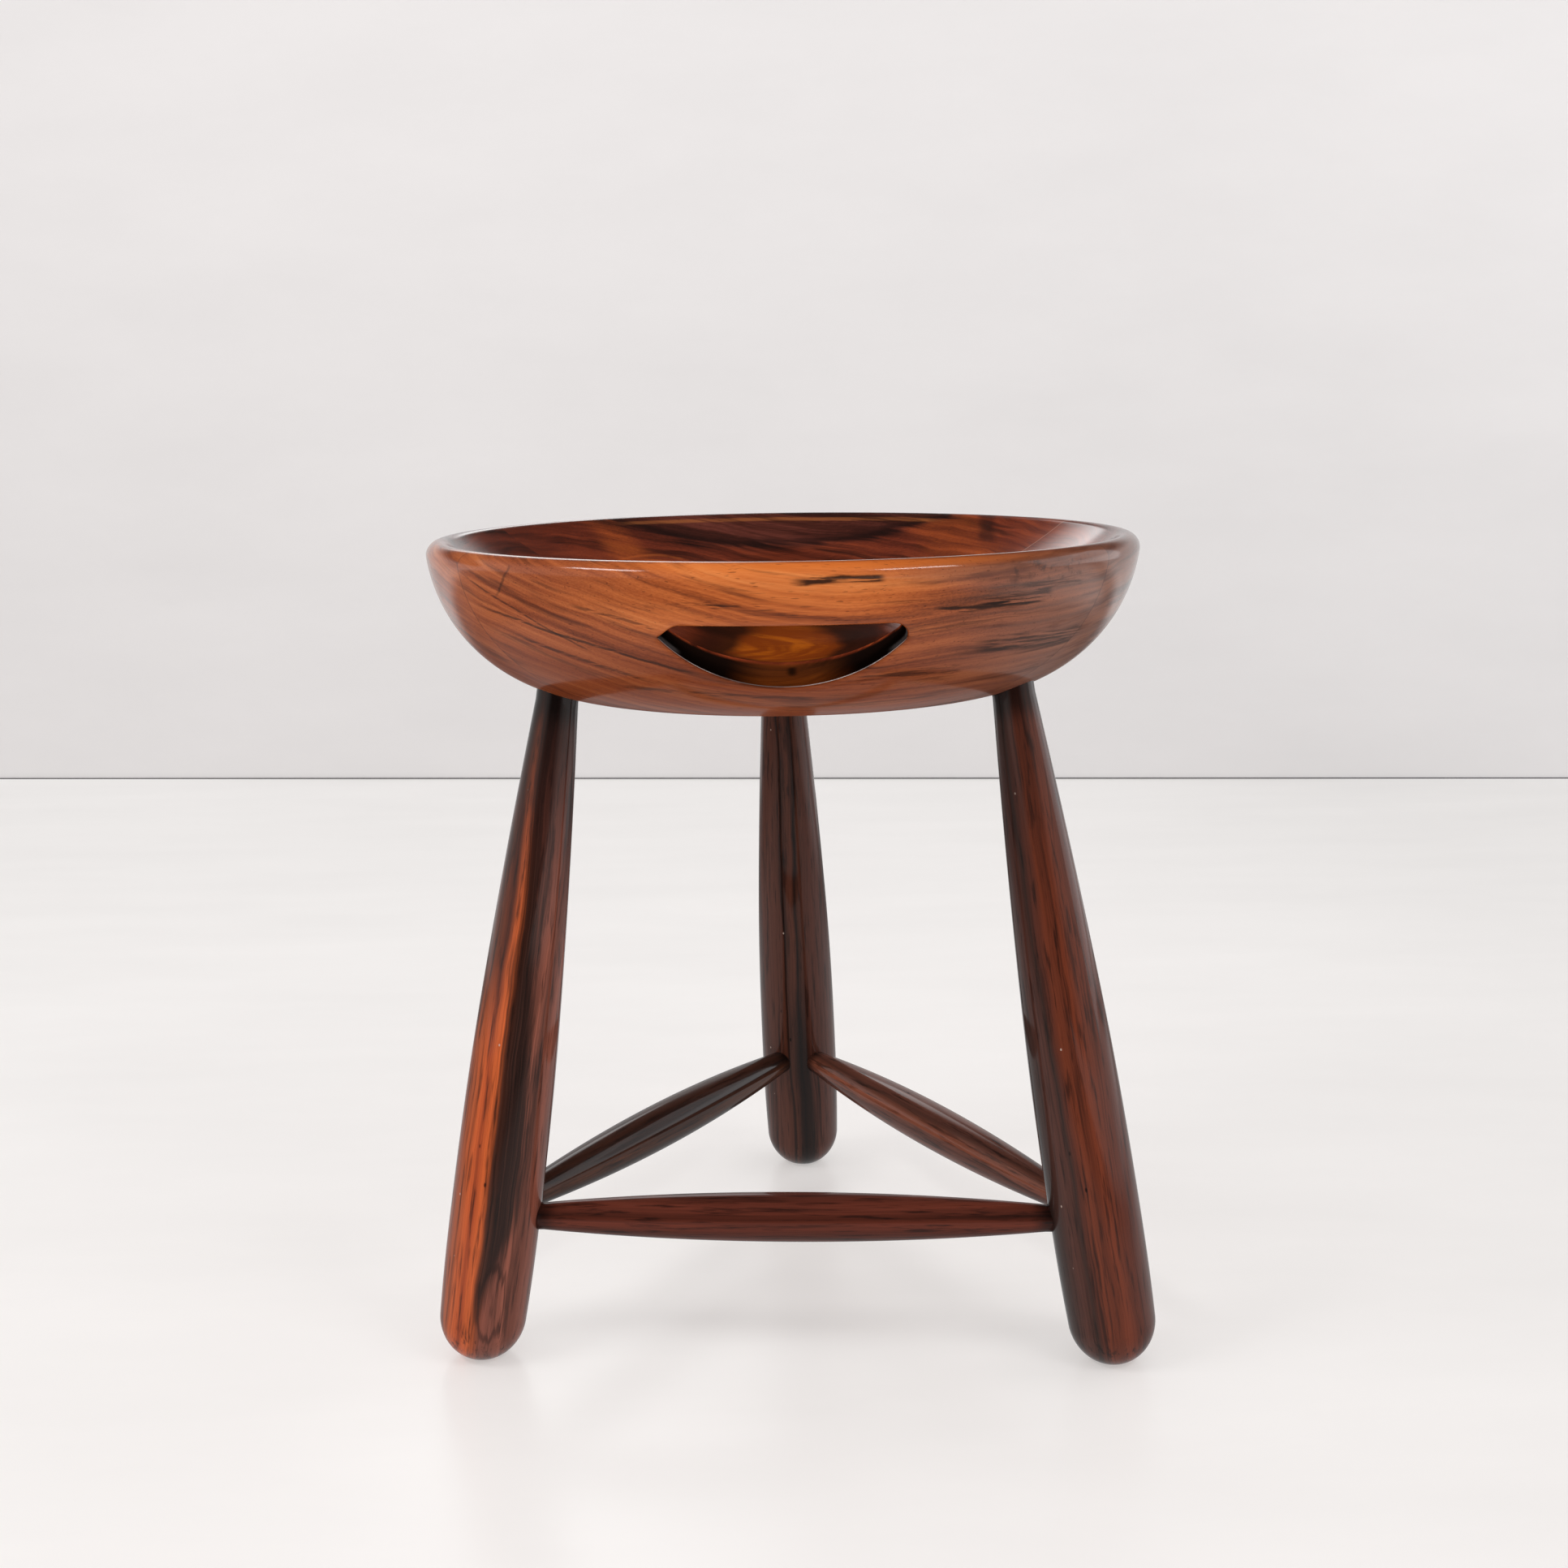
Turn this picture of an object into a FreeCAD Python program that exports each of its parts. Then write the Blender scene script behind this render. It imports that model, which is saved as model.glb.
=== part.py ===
import FreeCAD, Part
import math
import os

V = FreeCAD.Vector

# Seat: a solid bowl, dished on top, rounded outside
seat_height = 470.0
seat_radius = 209.0
seat_depth = 98.0
underside_crown = 8.0
wall_rise = 3.0
rim_round = 8.0
dish_depth = 76.0

# Glue joints between the seat's boards: upright planes, measured back from the seat's axis
joint_front = -112.0
joint_middle = -14.0
joint_rear = 85.0

# Hand-hold: a D-shaped slot through the front wall, flat side up
hold_width = 126.0
hold_drop = 32.4
hold_height = 34.4
hold_corner = 7.0
hold_blend = 4.0
hold_wear = 2.0
hold_easing = 2.5

# Legs: bearing about the seat's axis and reach as a share of its radius, at the seat and at the floor
leg_places = {
    "left": (-152.2, 0.696, -152.0, 1.0),
    "right": (-31.8, 0.721, -31.4, 1.053),
    "rear": (90.8, 0.705, 87.3, 1.02),
}
leg_radius = 26.0
leg_tip_radius = 12.1
leg_tenon = 30.0
foot_dome = 25.0
foot_trim = 2.0

# Club outline of a leg: fraction of its length, share of the swell between tip and belly
leg_club = ((0.10, 0.968), (0.244, 1.0), (0.439, 0.91), (0.634, 0.665), (0.832, 0.325))
foot_swell = 0.935

# Stretchers: spindles with round tenons
stretcher_radius = 14.2
stretcher_tip_radius = 7.8
stretcher_stop = 15.0
front_stretcher_height = 83.0
rear_stretcher_height = 85.0

# Glue line left round every tenon, and the straight run of each tenon outside its hole
glue_line = 0.1
tenon_lead = 3.0

# Centres and radii that follow from the seat's sizes
floor_level = 0.0
wall_top = seat_height + wall_rise
wall_curve = seat_depth + wall_rise - underside_crown
wall_centre = seat_radius - wall_curve
underside = seat_height - seat_depth
crown_curve = (wall_centre ** 2 + (wall_top - underside) ** 2 - wall_curve ** 2) / (2 * underside_crown)
rim_level = seat_height - rim_round
rim_centre = wall_centre + math.sqrt((wall_curve - rim_round) ** 2 - (wall_top - rim_level) ** 2)
dish_floor = seat_height - dish_depth
dish_curve = (rim_centre ** 2 + (dish_floor - rim_level) ** 2 - rim_round ** 2) / (2 * dish_depth)


def polar(radius, bearing, height):
    """Point at a radius and a bearing in degrees about the seat's axis."""
    turn = math.radians(bearing)
    return V(radius * math.cos(turn), radius * math.sin(turn), height)


def arc(centre, radius, start, end):
    """Arc in the XZ plane about a centre, between two angles in radians."""
    points = []
    for angle in (start, (start + end) / 2, end):
        points.append(centre + V(radius * math.cos(angle), 0, radius * math.sin(angle)))
    return Part.Arc(*points).toShape()


def turned(edges):
    """Solid turned about the Z axis from an outline in the XZ plane."""
    face = Part.Face(Part.Wire(edges))
    return face.revolve(V(0, 0, 0), V(0, 0, 1), 360)


def line(start, end):
    return Part.makeLine(start, end)


# Seat bowl: crowned underside, wall arc, rounded rim and spherical dish, each tangent to the next
def seat_bowl():
    crown = V(0, 0, underside + crown_curve)
    wall = V(wall_centre, 0, wall_top)
    rim = V(rim_centre, 0, rim_level)
    dish = V(0, 0, dish_floor + dish_curve)
    to_wall = math.atan2(wall.z - crown.z, wall.x)
    to_rim = math.atan2(rim.z - wall.z, rim.x - wall.x)
    to_dish = math.atan2(rim.z - dish.z, rim.x)
    down = -math.pi / 2
    return turned([
        arc(crown, crown_curve, down, to_wall),
        arc(wall, wall_curve, to_wall, to_rim),
        arc(rim, rim_round, to_rim, to_dish + math.pi),
        arc(dish, dish_curve, to_dish, down),
        line(V(0, 0, dish_floor), V(0, 0, underside)),
    ])


# Hand-hold cutter: flat top, round right corner, worn slanted left corner, arched bottom
def hand_hold():
    half = hold_width / 2
    top = seat_height - hold_drop
    side = top - hold_corner
    left_tip = V(-half - hold_wear, 0, side)
    left_top = V(-half + hold_corner, 0, top)
    right_top = V(half - hold_corner, 0, top)
    right_side = V(half, 0, side)
    bow = hold_corner * math.sqrt(0.5)
    right_bow = V(half - hold_corner + bow, 0, top - hold_corner + bow)
    lowest = V(0, 0, top - hold_height)
    outline = Part.Wire([
        line(left_top, right_top),
        Part.Arc(right_top, right_bow, right_side).toShape(),
        Part.Arc(right_side, lowest, left_tip).toShape(),
        line(left_tip, left_top),
    ])
    cutter = Part.Face(outline).extrude(V(0, -2 * seat_radius, 0))
    worn = [edge for edge in cutter.Edges if edge.Length > seat_radius and edge.CenterOfMass.x < 0]
    return cutter.makeFillet(hold_blend, worn)


# Legs: axis from the floor to the place where it meets the seat's wall
def leg_axis(place):
    seat_bearing, seat_share, foot_bearing, foot_share = place
    seat_reach = seat_radius * seat_share
    drop = math.sqrt(wall_curve ** 2 - (seat_reach - wall_centre) ** 2)
    hip = polar(seat_reach, seat_bearing, wall_top - drop)
    foot = polar(seat_radius * foot_share, foot_bearing, floor_level)
    return foot, hip


def leg_frame(place):
    foot, hip = leg_axis(place)
    along = hip - foot
    return FreeCAD.Placement(foot, FreeCAD.Rotation(V(0, 0, 1), along)), along.Length


def leg_point(place, height):
    foot, hip = leg_axis(place)
    return foot + (hip - foot) * (height / hip.z)


def leg_blank(place):
    frame, length = leg_frame(place)
    swell = leg_radius - leg_tip_radius
    foot_radius = leg_tip_radius + swell * foot_swell
    sole = V(0, 0, -foot_trim)
    heel = V(foot_radius, 0, foot_dome)
    neck = V(leg_tip_radius, 0, length - tenon_lead)
    tip = V(leg_tip_radius, 0, length + leg_tenon)
    end = V(0, 0, length + leg_tenon)
    dome = Part.BezierCurve()
    dome.setPoles([heel, V(foot_radius, 0, -foot_trim), sole])
    dome.setWeight(2, math.sqrt(0.5))
    club = Part.BSplineCurve()
    stations = [V(leg_tip_radius + swell * share, 0, length * part) for part, share in leg_club]
    club.interpolate([heel] + stations + [neck])
    leg = turned([
        dome.toShape(),
        club.toShape(),
        line(neck, tip),
        line(tip, end),
        line(end, sole),
    ])
    leg.Placement = frame
    reach = 4 * leg_radius
    ground = Part.makeBox(reach, reach, reach, frame.Base + V(-reach / 2, -reach / 2, -reach))
    return leg.cut(ground)


def leg_socket(place):
    frame, length = leg_frame(place)
    bore = Part.makeCylinder(leg_tip_radius + glue_line, 2 * leg_tenon, V(0, 0, length - leg_tenon))
    bore.Placement = frame
    return bore


# Stretchers: a long spindle between two legs, its straight tenons stopping short of the leg axes
def stretcher_frame(first, second, height):
    start = leg_point(leg_places[first], height)
    along = leg_point(leg_places[second], height) - start
    return FreeCAD.Placement(start, FreeCAD.Rotation(V(0, 0, 1), along)), along.Length


def stretcher(first, second, height):
    frame, span = stretcher_frame(first, second, height)
    shoulder = leg_radius + tenon_lead
    near_end = V(0, 0, stretcher_stop)
    near_tip = V(stretcher_tip_radius, 0, stretcher_stop)
    near_neck = V(stretcher_tip_radius, 0, shoulder)
    belly = V(stretcher_radius, 0, span / 2)
    far_neck = V(stretcher_tip_radius, 0, span - shoulder)
    far_tip = V(stretcher_tip_radius, 0, span - stretcher_stop)
    far_end = V(0, 0, span - stretcher_stop)
    spindle = turned([
        line(near_end, near_tip),
        line(near_tip, near_neck),
        Part.Arc(near_neck, belly, far_neck).toShape(),
        line(far_neck, far_tip),
        line(far_tip, far_end),
        line(far_end, near_end),
    ])
    spindle.Placement = frame
    return spindle


def stretcher_mortises(first, second, height):
    frame, span = stretcher_frame(first, second, height)
    depth = span - 2 * stretcher_stop
    bore = Part.makeCylinder(stretcher_tip_radius + glue_line, depth, V(0, 0, stretcher_stop))
    bore.Placement = frame
    return bore


# Assembly of the seat: bowl, hand-hold with its outer lip eased, leg sockets, then the boards
stretchers = {
    "front": ("left", "right", front_stretcher_height),
    "left": ("left", "rear", rear_stretcher_height),
    "right": ("right", "rear", rear_stretcher_height),
}

seat = seat_bowl().cut(hand_hold())
lips = []
for edge in seat.Edges:
    corner = edge.Vertexes[0].Point
    in_hold = abs(corner.x) < hold_width and dish_floor < corner.z < seat_height - hold_drop / 2
    outside = math.hypot(corner.x, corner.y) > rim_centre - hold_height
    across = edge.BoundBox.YLength < edge.Length / 2
    if in_hold and outside and across and corner.y < 0:
        lips.append(edge)
seat = seat.makeFillet(hold_easing, lips)
for place in leg_places.values():
    seat = seat.cut(leg_socket(place))

pieces = {}
joints = (-2 * seat_radius, joint_front, joint_middle, joint_rear, 2 * seat_radius)
board_names = ("front", "mid_front", "mid_rear", "rear")
for name, near, far in zip(board_names, joints[:-1], joints[1:]):
    slab = Part.makeBox(4 * seat_radius, far - near, seat_height, V(-2 * seat_radius, near, floor_level))
    pieces["seat_board_" + name] = seat.common(slab)

for name, place in leg_places.items():
    leg = leg_blank(place)
    for ends in stretchers.values():
        if name in ends:
            leg = leg.cut(stretcher_mortises(*ends))
    pieces["leg_" + name] = leg

for name, ends in stretchers.items():
    pieces["stretcher_" + name] = stretcher(*ends)

# The origin lies on the floor under the middle of the whole stool
bounds = Part.makeCompound(list(pieces.values())).optimalBoundingBox(False)
middle = V(bounds.Center.x, bounds.Center.y, floor_level)

os.makedirs("parts", exist_ok=True)
for name, piece in pieces.items():
    piece.translate(-middle)
    piece = piece.Solids[0]
    piece.exportStep("parts/" + name + ".step")
    print(name, piece.isValid(), round(piece.Volume), piece.optimalBoundingBox(False))
print(middle)
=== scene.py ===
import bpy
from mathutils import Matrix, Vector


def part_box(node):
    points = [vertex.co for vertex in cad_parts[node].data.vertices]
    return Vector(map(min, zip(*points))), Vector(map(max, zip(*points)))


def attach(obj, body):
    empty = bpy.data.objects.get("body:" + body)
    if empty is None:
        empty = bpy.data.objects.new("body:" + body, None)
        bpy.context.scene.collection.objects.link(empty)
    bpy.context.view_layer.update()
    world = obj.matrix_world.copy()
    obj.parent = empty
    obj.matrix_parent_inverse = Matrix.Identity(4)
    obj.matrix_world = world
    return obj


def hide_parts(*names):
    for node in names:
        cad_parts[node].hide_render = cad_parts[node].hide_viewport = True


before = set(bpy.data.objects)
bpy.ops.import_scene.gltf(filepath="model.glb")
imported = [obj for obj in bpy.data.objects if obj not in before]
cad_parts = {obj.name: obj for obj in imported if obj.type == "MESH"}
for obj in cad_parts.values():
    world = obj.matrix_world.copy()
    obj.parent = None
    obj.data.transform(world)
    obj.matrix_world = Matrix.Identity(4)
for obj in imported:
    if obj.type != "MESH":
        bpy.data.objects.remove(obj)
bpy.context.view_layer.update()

from types import SimpleNamespace
import bmesh
import bpy
import numpy as np
from mathutils import Matrix, Vector

# Seat: a deep bowl of dark tropical hardwood, glued up from four boards with the grain running
# side to side, then turned outside, dished on top and rounded at the rim.
# A hand-hold is sawn through the front wall and its lips are eased by hand.
front_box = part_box("seat_board_front")
third_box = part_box("seat_board_mid_rear")
rear_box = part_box("seat_board_rear")
seat_axis = np.array([(third_box[0].x + third_box[1].x) / 2, (front_box[0].y + rear_box[1].y) / 2, 0.0])
joints = (front_box[1].y, third_box[0].y, rear_box[0].y)
rim_top = front_box[1].z
seat_depth, dish_depth, rim_round = 0.098, 0.076, 0.008
wall_curve, wall_centre, wall_top = 0.093, 0.116, rim_top + 0.003
crown_curve, underside = 0.938, rim_top - seat_depth
rim_level = rim_top - rim_round
rim_centre = wall_centre + np.sqrt((wall_curve - rim_round) ** 2 - (wall_top - rim_level) ** 2)
dish_floor = rim_top - dish_depth
dish_curve = (rim_centre ** 2 + (dish_floor - rim_level) ** 2 - rim_round ** 2) / (2 * dish_depth)
dish_centre = dish_floor + dish_curve


def wall_angle(height):
    """Angle on the wall arc at a height: its sine is the height below the arc's centre over the radius."""
    return np.arcsin((height - wall_top) / wall_curve)


def dish_angle(height):
    """Angle on the dish's sphere at a height: its sine is the height from the sphere's centre over the radius."""
    return np.arcsin((height - dish_centre) / dish_curve)


def runs(*stops):
    """Angles stepping evenly from one stop to the next: stops are angle, count, angle, count, angle."""
    parts = [np.linspace(a, b, n, endpoint=False) for a, n, b in zip(stops[:-2:2], stops[1:-1:2], stops[2::2])]
    return np.concatenate(parts + [np.array(stops[-1:])])


# Rows of the seat from the middle of the underside, over the rim, to the middle of the dish.
# The hand-hold's patch is hold_side rows high and twice hold_half columns wide, in the wall and in the dish.
to_wall = np.arctan2(wall_top - underside - crown_curve, wall_centre)
to_rim = np.arctan2(rim_level - wall_top, rim_centre - wall_centre)
to_dish = np.arctan2(rim_level - dish_centre, rim_centre)
hold_side, hold_half = 30, 33
wall_margin, wall_low, wall_high = 8, 0.390, 0.453
dish_margin, dish_near, dish_far = 10, 0.040, 0.174
crown_rows = runs(-np.pi / 2, 24, to_wall)
wall_rows = runs(to_wall, wall_margin, wall_angle(wall_low), hold_side, wall_angle(wall_high), 8, to_rim)
rim_rows = runs(to_rim, 26, to_dish + np.pi)
dish_rows = runs(to_dish, dish_margin, -np.arccos(dish_far / dish_curve), hold_side,
                 -np.arccos(dish_near / dish_curve), 12, -np.pi / 2)
row_r = np.concatenate([crown_curve * np.cos(crown_rows)[:-1],
                        wall_centre + wall_curve * np.cos(wall_rows)[:-1],
                        rim_centre + rim_round * np.cos(rim_rows)[:-1],
                        dish_curve * np.cos(dish_rows)])
row_z = np.concatenate([underside + crown_curve + crown_curve * np.sin(crown_rows)[:-1],
                        wall_top + wall_curve * np.sin(wall_rows)[:-1],
                        rim_level + rim_round * np.sin(rim_rows)[:-1],
                        dish_centre + dish_curve * np.sin(dish_rows)])
wall_first = len(crown_rows) - 1 + wall_margin
dish_first = len(crown_rows) + len(wall_rows) + len(rim_rows) - 3 + dish_margin
bearings = np.radians(np.arange(360.0) - 90.0)


def ring(radius, bearing, height):
    """Points at a radius and bearing about the seat's axis."""
    return np.stack(np.broadcast_arrays(radius * np.cos(bearing), radius * np.sin(bearing), height), -1)


def hold_outline():
    """The hand-hold's D in the front plane, run clockwise from its top left: a straight top, a round
    right corner, an arched bottom and a worn slanted left corner, softened by a running mean, then
    split into four sides with as many points as the grids around it. Its outward directions follow."""
    top, side, low = rim_top - 0.0324, rim_top - 0.0394, rim_top - 0.0668
    top_half, right_round, left_end, arch_half = 0.056, 0.007, -0.065, 0.064
    bend = (arch_half ** 2 + (side - low) ** 2) / (2 * (side - low))
    corner = np.linspace(np.pi / 2, 0.0, 12)
    under = np.linspace(top_half + right_round, left_end, 160)
    x = np.concatenate([np.linspace(-top_half, top_half, 120), top_half + right_round * np.cos(corner),
                        under, np.linspace(left_end, -top_half, 14)])
    z = np.concatenate([np.full(120, top), side + right_round * np.sin(corner),
                        low + bend - np.sqrt(bend ** 2 - under ** 2), np.linspace(side, top, 14)])
    closed = np.stack([np.append(x, x[0]), np.append(z, z[0])], -1)
    length = np.concatenate([[0.0], np.cumsum(np.hypot(*np.diff(closed, axis=0).T))])
    steps, blur = 1200, 25
    even = np.linspace(0.0, length[-1], steps, endpoint=False)
    line = np.stack([np.interp(even, length, closed[:, k]) for k in (0, 1)], -1)
    padded = np.concatenate([line[-(blur // 2):], line, line[:blur // 2]])
    soft = np.stack([np.convolve(padded[:, k], np.full(blur, 1.0 / blur), "valid") for k in (0, 1)], -1)
    corners = ((-0.052, top), (0.057, top), (0.049, low + 0.0142), (-0.049, low + 0.0142))
    marks = [np.argmin(np.hypot(*(soft - p).T)) for p in corners]
    counts = (2 * hold_half, hold_side, 2 * hold_half, hold_side)
    ends = marks[1:] + [marks[0] + steps]
    at = np.concatenate([np.linspace(a, b, n, endpoint=False) for a, b, n in zip(marks, ends, counts)])
    wrap = np.concatenate([soft, soft[:2]])
    points = np.stack([np.interp(at % steps, np.arange(steps + 2), wrap[:, k]) for k in (0, 1)], -1)
    run = np.roll(points, -1, 0) - np.roll(points, 1, 0)
    run /= np.hypot(*run.T)[:, None]
    return points, np.stack([-run[:, 1], run[:, 0]], -1)


def looped_quads(number):
    """Quads between the rows of a grid of point numbers whose columns close on themselves."""
    looped = np.concatenate([number, number[:, :1]], 1)
    return np.stack([looped[:-1, :-1], looped[:-1, 1:], looped[1:, 1:], looped[1:, :-1]], -1)


def seat_mesh():
    """Closed surface of the whole seat: rows turned about the axis, with a patch left out of the wall
    and another out of the dish; rings of points close each patch down to the hand-hold's eased lip,
    and straight runs through the wall join the two lips."""
    outline, outward = hold_outline()
    count = len(outline)
    easing = 0.003

    def on_wall(flat):
        """Bearing and arc angle of the wall behind a point of the front plane."""
        angle = wall_angle(flat[:, 1])
        radius = wall_centre + wall_curve * np.cos(angle)
        return np.stack([np.arcsin(flat[:, 0] / radius) - np.pi / 2, angle], -1)

    def on_dish(flat):
        """Bearing and sphere angle of the dish behind a point of the front plane."""
        angle = dish_angle(flat[:, 1])
        return np.stack([np.arcsin(flat[:, 0] / (dish_curve * np.cos(angle))) - np.pi / 2, angle], -1)

    def wall_point(spot):
        """Place of a bearing and arc angle on the wall."""
        return ring(wall_centre + wall_curve * np.cos(spot[..., 1]), spot[..., 0],
                    wall_top + wall_curve * np.sin(spot[..., 1]))

    def dish_point(spot):
        """Place of a bearing and sphere angle on the dish."""
        return ring(dish_curve * np.cos(spot[..., 1]), spot[..., 0], dish_centre + dish_curve * np.sin(spot[..., 1]))

    def patch_border(down, up):
        """Bearings and angles round the patch left out of the rows, clockwise from its top left."""
        wide = np.radians(np.arange(-hold_half, hold_half + 1.0)) - np.pi / 2
        return np.concatenate([np.stack([wide[:-1], np.full(len(wide) - 1, down[0])], -1),
                               np.stack([np.full(hold_side, wide[-1]), down[:-1]], -1),
                               np.stack([wide[:0:-1], np.full(len(wide) - 1, down[-1])], -1),
                               np.stack([np.full(hold_side, wide[0]), up[:-1]], -1)])

    wall_patch = wall_rows[wall_margin:wall_margin + hold_side + 1]
    dish_patch = dish_rows[dish_margin:dish_margin + hold_side + 1]
    share = np.linspace(0.0, 1.0, 11)[:, None, None] ** 1.3
    wall_start = on_wall(outline + easing * outward)
    wall_rings = wall_point(wall_start + (patch_border(wall_patch[::-1], wall_patch) - wall_start) * share)
    dish_start = on_dish(outline + easing * outward)
    dish_rings = dish_point(dish_start + (patch_border(dish_patch, dish_patch[::-1]) - dish_start) * share)

    turn = np.linspace(0.0, np.pi / 2, 8)[:, None, None]
    flat = (outline + outward * easing * (1 - np.sin(turn))).reshape(-1, 2)
    sink = easing * (1 - np.cos(turn)) * np.array([0.0, 1.0, 0.0])
    outer_lip = wall_point(on_wall(flat)).reshape(len(turn), count, 3) + sink
    inner_lip = dish_point(on_dish(flat)).reshape(len(turn), count, 3) - sink
    through = np.linspace(0.0, 1.0, 14)[1:-1, None, None]
    throat = np.concatenate([outer_lip, outer_lip[-1] + (inner_lip[-1] - outer_lip[-1]) * through, inner_lip[::-1]])

    turned = ring(row_r[:, None], bearings[None, :], row_z[:, None])
    number = np.arange(turned.size // 3).reshape(turned.shape[:2])
    number[0], number[-1] = number[0, 0], number[-1, 0]
    kept = np.ones((len(row_r) - 1, len(bearings)), bool)
    column = np.arange(len(bearings))
    columns = (column < hold_half) | (column >= len(bearings) - hold_half)
    kept[wall_first:wall_first + hold_side, columns] = False
    kept[dish_first:dish_first + hold_side, columns] = False

    points, faces = [turned.reshape(-1, 3)], [looped_quads(number)[kept]]
    start = turned.size // 3
    for rows, flip in ((wall_rings, False), (throat, True), (dish_rings, True)):
        number = np.arange(start, start + rows.shape[0] * count).reshape(rows.shape[0], count)
        made = looped_quads(number).reshape(-1, 4)
        faces.append(made[:, ::-1] if flip else made)
        points.append(rows.reshape(-1, 3))
        start += rows.shape[0] * count
    return np.concatenate(points) + seat_axis, np.concatenate(faces)


def mesh_of(name, points, faces):
    """A smooth mesh from arrays of points and quads; repeated points of a quad and loose points go."""
    mesh = bpy.data.meshes.new(name)
    mesh.from_pydata(points.tolist(), [], [tuple(dict.fromkeys(f)) for f in faces.tolist()])
    build = bmesh.new()
    build.from_mesh(mesh)
    bmesh.ops.remove_doubles(build, verts=build.verts, dist=2e-6)
    bmesh.ops.delete(build, geom=[v for v in build.verts if not v.link_faces], context="VERTS")
    for face in build.faces:
        face.smooth = True
    build.to_mesh(mesh)
    build.free()
    return mesh


def piece_of(name, mesh, material, node):
    """Puts a mesh in the scene as the piece that stands for a solid."""
    piece = bpy.data.objects.new(name, mesh)
    bpy.context.scene.collection.objects.link(piece)
    mesh.materials.clear()
    mesh.materials.append(material)
    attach(piece, "root")
    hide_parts(node)


def sawn_board(name, whole, near, far):
    """The part of the seat between two upright glue planes, closed with flat sawn faces."""
    build = bmesh.new()
    build.from_mesh(whole)
    for place, side in ((near, -1), (far, 1)):
        if place is None:
            continue
        cut = bmesh.ops.bisect_plane(build, geom=build.verts[:] + build.edges[:] + build.faces[:], dist=1e-7,
                                     plane_co=(0, place, 0), plane_no=(0, side, 0), clear_outer=True)
        rim = [e for e in cut["geom_cut"] if isinstance(e, bmesh.types.BMEdge)]
        bmesh.ops.holes_fill(build, edges=rim, sides=0)
        for edge in rim:
            edge.smooth = False
    mesh = bpy.data.meshes.new(name)
    build.to_mesh(mesh)
    build.free()
    return mesh


class Wire:
    """An output socket of a material. Operators add Math nodes; add() brings in any other node."""

    def __init__(self, tree, socket):
        self.tree = tree
        self.socket = socket

    def add(self, kind, settings=None, out=0, **sockets):
        """A new node's output. Settings are set first; sockets are named, or numbered as s0, s1 and so on."""
        node = self.tree.nodes.new(kind)
        for name, value in (settings or {}).items():
            if name == "stops":
                ramp = node.color_ramp.elements
                while len(ramp) < len(value):
                    ramp.new(0.5)
                for stop, (place, *levels) in zip(ramp, value):
                    stop.position = place
                    stop.color = shade(*levels)
            else:
                setattr(node, name, value)
        for name, value in sockets.items():
            key = int(name[1:]) if name[0] == "s" and name[1:].isdigit() else name.replace("_", " ")
            if isinstance(value, Wire):
                self.tree.links.new(value.socket, node.inputs[key])
            else:
                node.inputs[key].default_value = value
        return Wire(self.tree, node.outputs[out])

    def other(self, out):
        """Another output of the same node, by number or name."""
        return Wire(self.tree, self.socket.node.outputs[out])

    def maths(self, operation, *values):
        """A Math node on values or wires."""
        return self.add("ShaderNodeMath", {"operation": operation}, **{"s%d" % i: v for i, v in enumerate(values)})

    def __add__(self, other):
        return self.maths("ADD", self, other)

    __radd__ = __add__

    def __sub__(self, other):
        return self.maths("SUBTRACT", self, other)

    def __rsub__(self, other):
        return self.maths("SUBTRACT", other, self)

    def __mul__(self, other):
        return self.maths("MULTIPLY", self, other)

    __rmul__ = __mul__

    def __pow__(self, other):
        return self.maths("POWER", self, other)

    def __abs__(self):
        return self.maths("ABSOLUTE", self)

    def step(self, low, high):
        """Smooth step from 0 at low to 1 at high, whichever is larger."""
        return self.add("ShaderNodeMapRange", {"interpolation_type": "SMOOTHSTEP"},
                        Value=self, From_Min=low, From_Max=high)

    def mix(self, first, second):
        """Colour from first to second as this value goes from 0 to 1."""
        return self.add("ShaderNodeMix", {"data_type": "RGBA"}, out=2, s0=self, s6=first, s7=second)

    def ramp(self, *stops):
        """Colour read from stops of place, red, green and blue."""
        return self.add("ShaderNodeValToRGB", {"stops": stops}, Fac=self)

    def noise(self, a, b, c, detail=3.0, rough=0.55):
        """Noise of three stretched coordinates, about 0.5 in the middle."""
        spot = self.add("ShaderNodeCombineXYZ", X=a, Y=b, Z=c)
        return self.add("ShaderNodeTexNoise", Vector=spot, Scale=1.0, Detail=detail, Roughness=rough)

    def dots(self, a, b, c, size, share):
        """Small scattered spots: cells whose random value is in the given share, near their centres."""
        spot = self.add("ShaderNodeCombineXYZ", X=a, Y=b, Z=c)
        cell = self.add("ShaderNodeTexVoronoi", Vector=spot, Scale=1.0)
        tint = self.add("ShaderNodeSeparateXYZ", Vector=cell.other(1))
        return cell.step(size, size * 0.5) * tint.step(1.0 - share, 1.0 - share * 0.7)


def shade(*levels):
    """Linear colour from red, green and blue levels of 0 to 255 as seen on a screen."""
    v = np.array(levels) / 255.0
    v = np.where(v < 0.04045, v / 12.92, ((v + 0.055) / 1.055) ** 2.4)
    return (*[float(c) for c in v], 1.0)


def wood_base(name, place, turn):
    """A new material with its own axes: Object coordinates centred on place and turned."""
    material = bpy.data.materials.new(name)
    material.use_nodes = True
    material.node_tree.nodes.clear()
    root = Wire(material.node_tree, None)
    where = root.add("ShaderNodeTexCoord", out=3)
    local = root.add("ShaderNodeMapping", {"vector_type": "TEXTURE"}, Vector=where, Location=place, Rotation=turn)
    split = root.add("ShaderNodeSeparateXYZ", Vector=local)
    return material, root, [split.other(k) for k in range(3)]


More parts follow.
